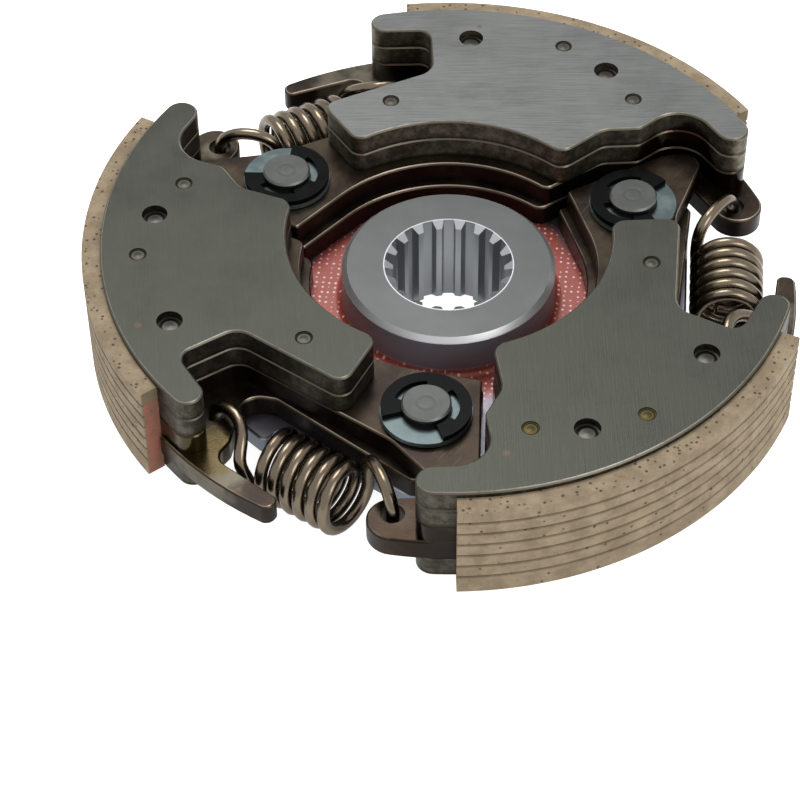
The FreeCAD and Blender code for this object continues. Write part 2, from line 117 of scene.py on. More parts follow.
def step(tree, value, low, high, first=0.0, last=1.0):
    """Rises smoothly from first to last while the value goes from low to high."""
    inputs = {"Value": value, "From Min": low, "From Max": high, "To Min": first, "To Max": last}
    return add(tree, "MapRange", inputs, interpolation_type="SMOOTHSTEP").outputs[0]


def rgb(red, green, blue):
    """A colour as seen on a screen, from 0 to 255, turned into the light that Blender mixes."""
    return tuple((v / 255) ** 2.2 for v in (red, green, blue)) + (1.0,)


def shaded(colour, factor):
    """The same colour, lighter or darker."""
    return tuple(min(1.0, v * factor) for v in colour[:3]) + (1.0,)


def new_group(name, inputs, outputs):
    """An empty shader node group with float, vector or colour sockets."""
    group = bpy.data.node_groups.new(name, "ShaderNodeTree")
    for label, kind, value in inputs:
        socket = group.interface.new_socket(label, in_out="INPUT", socket_type="NodeSocket" + kind)
        if value is not None:
            socket.default_value = value
    for label, kind in outputs:
        group.interface.new_socket(label, in_out="OUTPUT", socket_type="NodeSocket" + kind)
    start = group.nodes.new("NodeGroupInput")
    end = group.nodes.new("NodeGroupOutput")
    return group, start, end


def use(tree, group, inputs=None):
    """Places a node group in a material and returns its outputs."""
    node = tree.nodes.new("ShaderNodeGroup")
    node.node_tree = group
    for name, value in (inputs or {}).items():
        if isinstance(value, bpy.types.NodeSocket):
            tree.links.new(value, node.inputs[name])
        else:
            node.inputs[name].default_value = value
    return node.outputs


def new_material(name):
    """A material with only its output, a Principled BSDF and the object's coordinates."""
    material = bpy.data.materials.new(name)
    material.use_nodes = True
    tree = material.node_tree
    shader = tree.nodes["Principled BSDF"]
    place = add(tree, "TexCoord").outputs["Object"]
    return material, tree, shader, place


def set_shader(tree, shader, **values):
    """Fills the shader's sockets. Names use underscores for spaces."""
    for name, value in values.items():
        socket = shader.inputs[name.replace("_", " ")]
        if isinstance(value, bpy.types.NodeSocket):
            tree.links.new(value, socket)
        else:
            socket.default_value = value


# %% [markdown]
# ## Which way a surface faces
# A stamped plate has a ground face, a broken edge and rough, oily flanks. They are one piece of
# steel. Each face could be given a material of its own by hand. Here the finish tells them apart
# by the surface's slope, flat, sloping or upright, which works on every plate at once.

# %% Facing masks


def facing_group():
    group, _, end = new_group("facing", [], [("Flat", "Float"), ("Rim", "Float"), ("Side", "Float")])
    normal = add(group, "NewGeometry").outputs["True Normal"]
    up = maths(group, "ABSOLUTE", add(group, "SeparateXYZ", {0: normal}).outputs["Z"])
    # The slope is 1 on a level face and 0 on an upright one
    flat = step(group, up, 0.93, 0.98)
    side = step(group, up, 0.30, 0.12)
    rim = maths(group, "SUBTRACT", maths(group, "SUBTRACT", 1.0, flat), side)
    for label, value in (("Flat", flat), ("Rim", rim), ("Side", side)):
        group.links.new(value, end.inputs[label])
    return group


facing = facing_group()
print("group", facing.name, [item.name for item in facing.interface.items_tree])

# %% [markdown]
# ## Steel's small marks
# Handled steel carries soft blotches, fine scratches, a brushed lay and a faint grain. Photographs
# of steel could be laid on it, but they would need unwrapping. One group makes all four from the
# object's coordinates, so the marks stay on the piece when it moves and have no seams.

# %% Marks on steel


def marks_group():
    group, start, end = new_group(
        "steel_marks",
        [("Vector", "Vector", None), ("Blotch Size", "Float", 120.0), ("Grain Size", "Float", 2600.0),
         ("Scratch Turn", "Float", 0.6)],
        [("Blotch", "Float"), ("Scratch", "Float"), ("Brush", "Float"), ("Grain", "Float")])
    place = start.outputs["Vector"]
    blotch = add(group, "TexNoise", {"Vector": place, "Scale": start.outputs["Blotch Size"],
                                     "Detail": 5.0, "Roughness": 0.62}).outputs["Fac"]
    turned = add(group, "VectorRotate", {"Vector": place, "Angle": start.outputs["Scratch Turn"]},
                 rotation_type="Z_AXIS").outputs[0]
    # Noise that is squeezed across one direction turns into long thin lines
    long_way = add(group, "Mapping", {"Vector": turned, "Scale": (1.0, 38.0, 12.0)}).outputs[0]
    lines = add(group, "TexNoise", {"Vector": long_way, "Scale": 95.0, "Detail": 3.0,
                                    "Roughness": 0.7}).outputs["Fac"]
    scratch = step(group, lines, 0.60, 0.72)
    brush = step(group, lines, 0.30, 0.70)
    grain = add(group, "TexNoise", {"Vector": place, "Scale": start.outputs["Grain Size"],
                                    "Detail": 2.0}).outputs["Fac"]
    for label, value in (("Blotch", blotch), ("Scratch", scratch), ("Brush", brush), ("Grain", grain)):
        group.links.new(value, end.inputs[label])
    return group


steel_marks = marks_group()
print("group", steel_marks.name)

# %% [markdown]
# ## The edges of the stacked plates
# The plates are stamped, so each has one broken edge, and its crest is made bright: partly rubbed
# metal, partly a painted highlight. The foot of each flank is darkened as painted shade where it
# meets the plate below. The plates lie on each other at an even pitch. The height above the lowest
# arm plate, taken modulo that pitch, therefore tells where a point lies on its own plate.

# %% Plate edges
plate_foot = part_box("lower_arm_plate_1")[0][2]
plate_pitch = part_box("upper_arm_plate_1")[0][2] - plate_foot


def plate_edge_group():
    group, start, end = new_group("plate_edge", [("Vector", "Vector", None)],
                                  [("Crest", "Float"), ("Joint", "Float")])
    height = add(group, "SeparateXYZ", {0: start.outputs["Vector"]}).outputs["Z"]
    rise = maths(group, "FLOORED_MODULO", maths(group, "SUBTRACT", height, plate_foot), plate_pitch)
    share = maths(group, "DIVIDE", rise, plate_pitch)
    # The crest is the last few hundredths of a plate's height, and the joint its lowest fifth
    group.links.new(step(group, share, 0.925, 0.962), end.inputs["Crest"])
    group.links.new(step(group, share, 0.22, 0.02), end.inputs["Joint"])
    return group


plate_edge = plate_edge_group()
print("plates lie", round(plate_pitch / mm, 2), "mm apart")

# %% [markdown]
# ## Stains that stay in one place
# Oil has dried on a few spots. Each could be painted on its piece. Here a stain is a soft ball of
# colour round a point on the clutch, broken up by noise, so it needs only a place and a reach,
# and crosses from one plate to the next as oil does.

# %% Stains


def spot_group():
    group, start, end = new_group(
        "stain_spot",
        [("Vector", "Vector", None), ("Place", "Vector", (0.0, 0.0, 0.0)), ("Reach", "Float", 0.005),
         ("Raggedness", "Float", 0.6)],
        [("Mask", "Float")])
    gap = add(group, "VectorMath", {0: start.outputs["Vector"], 1: start.outputs["Place"]},
              operation="DISTANCE").outputs["Value"]
    share = maths(group, "DIVIDE", gap, start.outputs["Reach"])
    ragged = add(group, "TexNoise", {"Vector": start.outputs["Vector"], "Scale": 420.0,
                                     "Detail": 4.0}).outputs["Fac"]
    shift = maths(group, "MULTIPLY", maths(group, "SUBTRACT", ragged, 0.5), start.outputs["Raggedness"])
    mask = step(group, maths(group, "ADD", share, shift), 1.05, 0.65)
    group.links.new(mask, end.inputs["Mask"])
    return group


stain_spot = spot_group()


def flattened(tree, place):
    """The coordinates without their height."""
    return add(tree, "VectorMath", {0: place, 1: (1.0, 1.0, 0.0)}, operation="MULTIPLY").outputs[0]


def nearest(tree, place, points):
    """How far a place lies from the nearest of several upright lines."""
    flat = flattened(tree, place)
    found = None
    for point in points:
        gap = add(tree, "VectorMath", {0: flat, 1: (point.x, point.y, 0.0)},
                  operation="DISTANCE").outputs["Value"]
        found = gap if found is None else maths(tree, "MINIMUM", found, gap)
    return found


def stains(tree, place, spots):
    """One mask from several spots, each a point and a reach in millimetres."""
    total = None
    for point, reach in spots:
        mask = use(tree, stain_spot, {"Vector": place, "Place": point, "Reach": reach * mm})["Mask"]
        total = mask if total is None else maths(tree, "MAXIMUM", total, mask)
    return total


print("group", stain_spot.name)


# %% [markdown]
# ## The ground top plates
# The weights' upper faces are ground flat, a soft grey-green, while the flanks stay as the
# press left them: dark and oily, with bright lines on the edges that are partly rubbed metal and
# partly a painted highlight. The shoe at the back has a brushed face whose paler grey is partly
# painted light, and its flanks are lightened as painted light. One function makes the finish three
# times, once for each shoe, with its own face colour, lay and stains.

# %% Weight plate finish
grey_green = rgb(59, 60, 55)
# The back shoe's brushed grey is paler than the others partly as painted light
brushed_and_lit_grey = rgb(92, 93, 92)
flank_dark = rgb(56, 53, 46)
flank_light = rgb(86, 82, 72)
rim_highlight_and_burnish = rgb(132, 129, 120)
rust_freckle = rgb(84, 66, 54)
burnt_oil = rgb(46, 24, 10)

# Heights in millimetres of the ground faces and of the pocket between two shoes
ground_face = 28.9
pocket_middle = 21.0

# For each shoe its freckles and oil, as places and reaches, its lay's turn, and how much its flanks
# are lightened as painted light
plate_freckles = {
    1: [(around(62.0, -60.0, 1, ground_face), 0.8)],
    2: [(around(57.0, -104.0, 2, ground_face), 0.7)],
    3: [(around(60.0, -60.0, 3, ground_face), 0.6)],
}
pocket_oil = {
    1: [],
    2: [],
    3: [(around(57.0, -110.5, 3, pocket_middle), 6.5), (around(50.0, -106.5, 3, pocket_middle), 4.5)],
}
brush_turn = {1: 1.35, 2: 1.45, 3: -0.115}
flank_painted_light = {1: 1.0, 2: 1.0, 3: 2.2}


def weight_plate_finish(name, face_colour, shoe, brushed):
    """Ground face, rubbed edges and oily flanks. Brushed is how strongly the lay shows."""
    material, tree, shader, place = new_material(name)
    masks = use(tree, facing)
    edge = use(tree, plate_edge, {"Vector": place})
    marks = use(tree, steel_marks, {"Vector": place, "Blotch Size": 70.0,
                                    "Scratch Turn": brush_turn[shoe]})
    lighter = shaded(face_colour, 1.20)
    darker = shaded(face_colour, 0.82)
    face = mix(tree, step(tree, marks["Blotch"], 0.30, 0.72), darker, lighter)
    lines = mix(tree, marks["Brush"], shaded(face_colour, 0.72), shaded(face_colour, 1.30))
    face = mix(tree, brushed, face, lines)
    mottle = add(tree, "TexNoise", {"Vector": place, "Scale": 480.0, "Detail": 6.0,
                                    "Roughness": 0.72}).outputs["Fac"]
    # Painted light: on the back shoe the flank colours are lightened
    flank = mix(tree, step(tree, mottle, 0.38, 0.66), shaded(flank_dark, flank_painted_light[shoe]),
                shaded(flank_light, flank_painted_light[shoe]))
    # Painted shade: the foot of each plate's flank is darkened where it meets the plate below
    flank = mix(tree, maths(tree, "MULTIPLY", edge["Joint"], 0.75), flank, shaded(flank_dark, 0.45))
    colour = mix(tree, masks["Side"], face, flank)
    # Painted highlight: the crest of each chamfer is made bright, partly rubbed metal
    rubbed_and_highlit = maths(tree, "MULTIPLY", edge["Crest"], step(tree, mottle, 0.30, 0.55, 0.35, 1.0))
    colour = mix(tree, masks["Rim"], colour, mix(tree, rubbed_and_highlit, flank_light, rim_highlight_and_burnish))
    freckles = stains(tree, place, plate_freckles[shoe])
    colour = mix(tree, maths(tree, "MULTIPLY", freckles, 0.5), colour, rust_freckle)
    rough = step(tree, marks["Blotch"], 0.30, 0.75, 0.36, 0.50)
    if pocket_oil[shoe]:
        oil = maths(tree, "MULTIPLY", stains(tree, place, pocket_oil[shoe]),
                    maths(tree, "SUBTRACT", 1.0, masks["Flat"]))
        colour = mix(tree, maths(tree, "MULTIPLY", oil, 0.9), colour, burnt_oil)
        rough = maths(tree, "SUBTRACT", rough, maths(tree, "MULTIPLY", oil, 0.28))
    height = maths(tree, "ADD", maths(tree, "MULTIPLY", marks["Grain"], 0.35),
                   maths(tree, "MULTIPLY", marks["Brush"], maths(tree, "MULTIPLY", masks["Flat"], 0.6)))
    pitted = maths(tree, "MULTIPLY", mottle, maths(tree, "MULTIPLY", masks["Side"], 1.6))
    height = maths(tree, "ADD", height, pitted)
    bump = add(tree, "Bump", {"Height": height, "Strength": 0.20, "Distance": 0.00008})
    set_shader(tree, shader, Base_Color=colour, Roughness=rough, Metallic=0.92,
               Normal=bump.outputs[0])
    return material


weight_finishes = {
    1: weight_plate_finish("weight_plate_left", grey_green, 1, 0.16),
    2: weight_plate_finish("weight_plate_right", grey_green, 2, 0.20),
    3: weight_plate_finish("weight_plate_back", brushed_and_lit_grey, 3, 0.55),
}
print("weight finishes", sorted(weight_finishes))

# %% [markdown]
# ## The oil-browned arm plates
# The plates with the eyes and arms are browned by oil, nearly black on their flanks, and
# polished to bare metal where the edges rub; the bright edges are also a painted highlight. They are
# made as the weights' plates are, from the same groups, with darker colours and with stains on the
# tabs that hold the springs.

# %% Arm plate finish
arm_brown = rgb(57, 49, 39)
arm_dark = rgb(36, 29, 25)
arm_bare_and_highlight = rgb(150, 136, 122)
bare_steel = rgb(88, 84, 74)
olive_oil = rgb(66, 56, 29)
brown_oil = rgb(36, 25, 16)

# Heights in millimetres: a tab's upper face, a point just over it, and the middle of its flank
tab_face = 15.7
over_tab = 16.5
tab_flank = 12.4

# Tabs that show bare steel, dried oil and fresh brown oil, each a place and a reach
bare_tabs = [(around(62.0, -36.0, shoe, tab_face), 9.0) for shoe in shoe_numbers]
bare_tabs += [(around(60.0, -121.5, shoe, tab_flank), 4.5) for shoe in shoe_numbers]
olive_tabs = [(around(61.5, -38.0, 1, over_tab), 7.0), (around(62.5, -44.5, 1, over_tab), 5.5)]
oily_tabs = [(around(60.5, -120.5, 2, over_tab), 7.5), (around(60.5, -117.5, 3, tab_face), 5.5),
             (around(56.0, -106.0, 3, tab_face), 5.0)]


def arm_plate_finish():
    material, tree, shader, place = new_material("browned_arm_plate")
    masks = use(tree, facing)
    edge = use(tree, plate_edge, {"Vector": place})
    marks = use(tree, steel_marks, {"Vector": place, "Blotch Size": 110.0, "Scratch Turn": 2.1})
    face = mix(tree, step(tree, marks["Blotch"], 0.32, 0.70), arm_dark, arm_brown)
    face = mix(tree, maths(tree, "MULTIPLY", marks["Scratch"], 0.12), face, arm_bare_and_highlight)
    bare = maths(tree, "MULTIPLY", stains(tree, place, bare_tabs),
                 step(tree, marks["Blotch"], 0.36, 0.56, 0.25, 0.80))
    face = mix(tree, bare, face, bare_steel)
    flank = mix(tree, step(tree, marks["Blotch"], 0.45, 0.75), arm_dark, arm_brown)
    flank = mix(tree, bare, flank, shaded(bare_steel, 1.5))
    colour = mix(tree, masks["Side"], face, flank)
    # Painted highlight: the crest of each chamfer is made bright, partly bare metal
    rubbed_and_highlit = maths(tree, "MULTIPLY", edge["Crest"],
                   step(tree, marks["Blotch"], 0.34, 0.54, 0.35, 1.0))
    colour = mix(tree, masks["Rim"], colour, mix(tree, rubbed_and_highlit, arm_brown, arm_bare_and_highlight))
    olive = stains(tree, place, olive_tabs)
    oily = stains(tree, place, oily_tabs)
    colour = mix(tree, maths(tree, "MULTIPLY", olive, 0.80), colour, olive_oil)
    colour = mix(tree, maths(tree, "MULTIPLY", oily, 0.85), colour, brown_oil)
    rough = step(tree, marks["Blotch"], 0.30, 0.75, 0.28, 0.46)
    wet = maths(tree, "MAXIMUM", olive, oily)
    rough = maths(tree, "SUBTRACT", rough, maths(tree, "MULTIPLY", wet, 0.14))
    bump = add(tree, "Bump", {"Height": marks["Grain"], "Strength": 0.18, "Distance": 0.00006})
    set_shader(tree, shader, Base_Color=colour, Roughness=rough, Metallic=0.85,
               Normal=bump.outputs[0])
    return material


arm_finish = arm_plate_finish()
print("arm finish", arm_finish.name, "with", len(bare_tabs + olive_tabs + oily_tabs), "stains")

# %% [markdown]
# ## The friction lining
# The lining is moulded from fibre and resin: a matt sand colour with black and rust-red
# specks, darkened in its grooves as painted shade, and pinker where the moulding was cut at its
# ends. The specks are the cells of a Voronoi pattern, of which a colour picks only a few, more of
# them on the flat faces. The grooves are in the solid, and the distance from the axis finds them
# for their painted shade.

# %% Lining finish
lining_sand = rgb(124, 109, 88)
lining_pale = rgb(152, 136, 112)
lining_speck = rgb(40, 34, 30)
lining_rust = rgb(138, 84, 66)
lining_raw_end = rgb(146, 92, 76)
groove_painted_shade = rgb(84, 72, 54)
lining_outer_radius = -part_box("lining_1")[0][0]
raw_ends = [(around(67.3, -47.0, shoe, height), 4.6)
            for shoe in shoe_numbers for height in (9.0, 15.0, 21.0)]

# Cells to the metre, and how much of them stays clear of specks outside and on the flat faces
speck_scale = 940.0
clear_outside = 0.88
clear_on_flat = 0.52


def lining_finish():
    material, tree, shader, place = new_material("friction_lining")
    masks = use(tree, facing)
    cloud = add(tree, "TexNoise", {"Vector": place, "Scale": 260.0, "Detail": 6.0,
                                   "Roughness": 0.65}).outputs["Fac"]
    colour = mix(tree, step(tree, cloud, 0.32, 0.70), lining_sand, lining_pale)
    radius = add(tree, "VectorMath", {0: flattened(tree, place)}, operation="LENGTH").outputs["Value"]
    groove_shade_mask = maths(tree, "MULTIPLY", maths(tree, "SUBTRACT", 1.0, masks["Flat"]),
                 step(tree, radius, lining_outer_radius - 0.06 * mm, lining_outer_radius - 0.40 * mm))
    cells = add(tree, "TexVoronoi", {"Vector": place, "Scale": speck_scale, "Randomness": 1.0})
    chosen = add(tree, "SeparateXYZ", {0: cells.outputs["Color"]})
    clear = maths(tree, "MULTIPLY_ADD", masks["Flat"], clear_on_flat - clear_outside, clear_outside)
    black = maths(tree, "MULTIPLY", step(tree, cells.outputs["Distance"], 0.36, 0.18),
                  maths(tree, "GREATER_THAN", chosen.outputs["X"], clear))
    rust = maths(tree, "MULTIPLY", step(tree, cells.outputs["Distance"], 0.34, 0.18),
                 step(tree, chosen.outputs["Y"], 0.93, 0.96))
    colour = mix(tree, maths(tree, "MULTIPLY", rust, 0.6), colour, lining_rust)
    colour = mix(tree, maths(tree, "MULTIPLY", black, 0.80), colour, lining_speck)
    # Painted shade: the grooves are darkened
    colour = mix(tree, maths(tree, "MULTIPLY", groove_shade_mask, 0.60), colour, groove_painted_shade)
    cut_face = step(tree, radius, lining_outer_radius - 0.25 * mm, lining_outer_radius - 0.60 * mm)
    raw = maths(tree, "MULTIPLY", stains(tree, place, raw_ends), step(tree, cloud, 0.40, 0.52, 0.45, 0.95))
    raw = maths(tree, "MULTIPLY", raw, cut_face)
    colour = mix(tree, raw, colour, lining_raw_end)
    fibre = add(tree, "TexNoise", {"Vector": place, "Scale": 1900.0, "Detail": 3.0}).outputs["Fac"]
    height = maths(tree, "SUBTRACT", fibre, maths(tree, "MULTIPLY", black, 0.8))
    height = maths(tree, "ADD", height, maths(tree, "MULTIPLY", cloud, maths(tree, "MULTIPLY", raw, 6.0)))
    bump = add(tree, "Bump", {"Height": height, "Strength": 0.35, "Distance": 0.00012})
    set_shader(tree, shader, Base_Color=colour, Roughness=0.86, Normal=bump.outputs[0])
    return material


lining_material = lining_finish()
print("lining reaches", round(lining_outer_radius / mm, 2), "mm from the axis")

# %% [markdown]
# ## The carrier
# Hub and drive plate are one turned piece. The drive plate is tinted by heat, blue-grey
# outside, and keeps a worn red coating full of pale dots near the hub. The collar's upright sides and
# the spline are painted lighter than the hub as painted light, and the chamfers carry a painted
# highlight. All its zones are rings, so the distance from the axis and the height above the drive
# plate tell them apart.

# %% Carrier finish
hub_grey = rgb(76, 78, 77)
tint_blue = rgb(106, 103, 110)
coat_red = rgb(154, 70, 60)
coat_dot = rgb(222, 196, 190)
collar_painted_light = rgb(134, 144, 156)
hub_chamfer_highlight = rgb(188, 188, 190)
spline_painted_light = rgb(158, 161, 164)
dot_spacing = 1.3
coat_waviness = 0.007

# Radii in metres where one finish of the carrier gives way to the next, each from and to
spline_to_hub_face = (0.01255, 0.01235)
collar_to_plate = (0.0202, 0.0206)
coat_to_tint = (0.0292, 0.0262)


def carrier_finish():
    material, tree, shader, place = new_material("heat_tinted_carrier")
    masks = use(tree, facing)
    marks = use(tree, steel_marks, {"Vector": place, "Blotch Size": 90.0, "Scratch Turn": 0.2})
    height = add(tree, "SeparateXYZ", {0: place}).outputs["Z"]
    flat_place = flattened(tree, place)
    radius = add(tree, "VectorMath", {0: flat_place}, operation="LENGTH").outputs["Value"]
    inside = step(tree, radius, *spline_to_hub_face)
    on_plate = maths(tree, "MULTIPLY", step(tree, radius, *collar_to_plate),
                     step(tree, height, plate_foot - 0.7 * mm, plate_foot - 0.4 * mm))
    on_plate = maths(tree, "MULTIPLY", on_plate, maths(tree, "SUBTRACT", 1.0, masks["Side"]))
    ragged = add(tree, "TexNoise", {"Vector": flat_place, "Scale": 110.0, "Detail": 2.0}).outputs["Fac"]
    wavy = maths(tree, "MULTIPLY", maths(tree, "SUBTRACT", ragged, 0.5), coat_waviness)
    coated = step(tree, maths(tree, "ADD", radius, wavy), *coat_to_tint)
    dots = add(tree, "TexVoronoi", {"Vector": flat_place, "Scale": 1.0 / (dot_spacing * mm),
                                    "Randomness": 0.22}).outputs["Distance"]
    coat = mix(tree, step(tree, dots, 0.25, 0.14), coat_red, coat_dot)
    cloudy = step(tree, marks["Blotch"], 0.35, 0.70)
    tint = mix(tree, cloudy, shaded(tint_blue, 0.75), shaded(tint_blue, 1.25))
    hub = mix(tree, cloudy, hub_grey, shaded(hub_grey, 1.15))
    # Painted light: the collar's upright sides are lighter than the hub's faces
    colour = mix(tree, masks["Side"], hub, collar_painted_light)
    # Painted highlight: the chamfers are near white
    colour = mix(tree, masks["Rim"], colour, hub_chamfer_highlight)
    # Painted light: the spline in the bore is lighter than the hub
    colour = mix(tree, inside, colour, spline_painted_light)
    colour = mix(tree, on_plate, colour, mix(tree, coated, tint, coat))
    # The coating is no metal, and the collar round the hub is dull
    dull = maths(tree, "MULTIPLY", maths(tree, "MULTIPLY", on_plate, coated), 0.85)
    collar = maths(tree, "MULTIPLY", masks["Side"], maths(tree, "SUBTRACT", 1.0, inside))
    dull = maths(tree, "ADD", dull, maths(tree, "MULTIPLY", collar, 0.60))
    metal = maths(tree, "SUBTRACT", 0.95, dull)
    ring_place = add(tree, "CombineXYZ", {"X": radius}).outputs[0]
    rings = add(tree, "TexNoise", {"Vector": ring_place, "Scale": 2600.0, "Detail": 2.0}).outputs["Fac"]
    bump = add(tree, "Bump", {"Height": rings, "Strength": 0.12, "Distance": 0.00005})
    set_shader(tree, shader, Base_Color=colour, Roughness=0.38, Metallic=metal,
               Normal=bump.outputs[0])
    return material


carrier_material = carrier_finish()
print("carrier finish", carrier_material.name)

# %% [markdown]
# ## Small hardware
# The washers are zinc with a cold green tint, the clips are blackened, and the springs are drawn
# wire. Their finishes differ only in colour, polish and how strong a painted highlight their edges
# carry, so one function makes all three.

# %% Hardware finishes


def hardware_finish(name, colour, darker, roughness, metallic, blotch_size=300.0, gloss=0.5, rim=1.0):
    """Steel with blotches. The rim factor lightens its edges and sides as a painted highlight."""
    material, tree, shader, place = new_material(name)
    masks = use(tree, facing)
    marks = use(tree, steel_marks, {"Vector": place, "Blotch Size": blotch_size})
    tone = mix(tree, step(tree, marks["Blotch"], 0.36, 0.66), darker, colour)
    # Painted highlight: edges and sides are lightened by the rim factor
    tone = mix(tree, maths(tree, "SUBTRACT", 1.0, masks["Flat"]), tone, shaded(colour, rim))
    rough = step(tree, marks["Blotch"], 0.3, 0.7, roughness * 0.85, roughness * 1.2)
    bump = add(tree, "Bump", {"Height": marks["Grain"], "Strength": 0.06, "Distance": 0.00003})
    set_shader(tree, shader, Base_Color=tone, Roughness=rough, Metallic=metallic,
               Specular_IOR_Level=gloss, Normal=bump.outputs[0])
    return material


washer_material = hardware_finish("zinc_washer", rgb(84, 94, 94), rgb(70, 79, 80), 0.36, 0.9, rim=2.4)
clip_material = hardware_finish("black_clip", rgb(10, 11, 12), rgb(6, 7, 8), 0.30, 0.1, gloss=0.05, rim=3.0)
spring_material = hardware_finish("drawn_spring_wire", rgb(112, 102, 88), rgb(82, 72, 60), 0.24, 1.0,
                                  blotch_size=90.0)
print("hardware", washer_material.name, clip_material.name, spring_material.name)

# %% [markdown]
# ## Turned and riveted heads
# A pin's head keeps a faint ring from its centre drill, and a rivet or dowel is set with a
# punch that leaves a sunk ring round a low dome. The rings are darkened as painted shade, and the
# heads' edges carry a painted highlight. These marks could be cut into the solids, but they are
# only fractions of a millimetre deep. All are round, so they follow the distance from the nearest
# centre.

# %% Round heads
# Places on each shoe, as a distance from the axis in millimetres and an angle from the pin
pin_places = [(pin_radius_from_axis / mm, 0.0)]
rivet_places = [(52.25, -98.2), (38.6, -36.9), (58.4, -77.4)]
dowel_places = [(55.8, -88.3), (56.3, -58.7)]
oiled_rivets = [(around(52.25, -98.2, 2, 28.7), 2.4), (around(58.4, -77.4, 2, 28.7), 2.2)]
rivet_olive = rgb(64, 57, 33)


def head_finish(name, places, face, ring, ring_radii, dome_radius, roughness, depth=0.00025, oiled=()):
    """Steel with a dark ring between two radii in millimetres, round each of its centres."""
    material, tree, shader, place = new_material(name)
    masks = use(tree, facing)
    marks = use(tree, steel_marks, {"Vector": place, "Blotch Size": 320.0})
    gap = nearest(tree, place, [around(*where, shoe) for where in places for shoe in shoe_numbers])
    inner, outer = ring_radii
    middle = (inner + outer) / 2
    in_ring = maths(tree, "MULTIPLY", step(tree, gap, inner * mm, middle * mm),
                    step(tree, gap, outer * mm, middle * mm))
    tone = mix(tree, step(tree, marks["Blotch"], 0.36, 0.66), shaded(face, 0.86), face)
    # Painted shade: the sunk ring round each centre is darkened
    tone = mix(tree, maths(tree, "MULTIPLY", in_ring, masks["Flat"]), tone, ring)
    # Painted highlight: the heads' edges are made twice as light
    tone = mix(tree, masks["Rim"], tone, shaded(face, 2.1))
    if oiled:
        tone = mix(tree, maths(tree, "MULTIPLY", stains(tree, place, oiled), 0.8), tone, rivet_olive)
    dome = step(tree, gap, dome_radius * mm, 0.0)
    height = maths(tree, "SUBTRACT", dome, in_ring)
    height = maths(tree, "ADD", height, maths(tree, "MULTIPLY", marks["Grain"], 0.06))
    bump = add(tree, "Bump", {"Height": height, "Strength": 0.5, "Distance": depth})
    set_shader(tree, shader, Base_Color=tone, Roughness=roughness, Metallic=0.92,
               Normal=bump.outputs[0])
    return material


pin_material = head_finish("ground_pin", pin_places, rgb(73, 74, 72), rgb(68, 69, 67), (1.0, 2.2), 3.4,
                           0.46, depth=0.00004)
rivet_material = head_finish("punched_rivet", rivet_places, rgb(68, 67, 61), rgb(34, 31, 26), (1.15, 1.75),
                             1.0, 0.44, oiled=oiled_rivets)
dowel_material = head_finish("sunk_dowel", dowel_places, rgb(74, 73, 69), rgb(30, 27, 22), (1.3, 2.5),
                             1.5, 0.40)
print("heads", pin_material.name, rivet_material.name, dowel_material.name)

# %% [markdown]
# ## Putting the finishes on
# The solids keep their shapes, and only their finishes change. Most kinds of piece look the same
# on all three shoes, so a table from the kind to its finish dresses them, and only the weights'
# plates take the finish of their own shoe.

# %% Give each solid its finish
finish_of = {"upper_arm_plate": arm_finish, "lower_arm_plate": arm_finish, "lining": lining_material,
             "rivets": rivet_material, "dowels": dowel_material, "pivot_pin": pin_material,
             "washer": washer_material, "retaining_clip": clip_material, "spring": spring_material}


def dress(node, material):
    """Puts one finish on a solid, in place of what it came with."""
    node.data.materials.clear()
    node.data.materials.append(material)


dress(nodes["carrier"], carrier_material)
for shoe in shoe_numbers:
    for name, material in finish_of.items():
        dress(nodes[f"{name}_{shoe}"], material)
    for name in ("top_plate", "second_plate", "bottom_plate"):
        dress(nodes[f"{name}_{shoe}"], weight_finishes[shoe])
print("dressed", sum(1 for node in nodes.values() if node.data.materials))

# %% [markdown]
# ## The hook springs
# A spring is one length of drawn wire. From its tail in the long tab it arches into the coil,
# makes six and a half turns, and arches out again to its tail in the next shoe's short tab. A
# screw could turn the coil, but not its hooks. One smooth curve with a round bevel makes both, and
# a loop works out its points. Each end belongs to another shoe, so the wire is made as two halves
# that meet in mid coil.

# %% Spring sizes
# Lengths in millimetres, and angles in degrees from the shoe's pin
wire_radius = 1.2
coil_radius = 6.0
coil_turns = 6.5
coil_pitch = 2.8
coil_axis_radius = 53.3
coil_axis_angle = -28.4
coil_axis_height = 11.4
coil_start = -3.4
anchor_hole = (55.1, -45.1)
link_hole = (59.6, -123.6)
tail_heights = (10.6, 13.0, 15.8)

# From the coil's first end: outwards, along the coil and upwards
anchor_way = ((0.3, -1.6, 2.7), (-1.0, -2.4, 4.5), (-3.4, -3.4, 6.4), (-5.3, -5.4, 7.5),
              (-6.4, -7.9, 7.9), (-6.5, -10.8, 7.1))

# From the coil's last end: the share of the way to the hole, and upwards
link_way = ((0.0, 2.0), (0.0, 4.6), (0.08, 6.9), (0.28, 8.3), (0.5, 8.6), (0.72, 8.3), (0.92, 6.9),
            (1.0, 4.6))
points_per_turn = 24
wire_sides = 14


def tail(hole):
    """A wire's straight end, from below a tab to the tab's upper face."""
    return [Vector((hole.x, hole.y, height * mm)) for height in tail_heights]


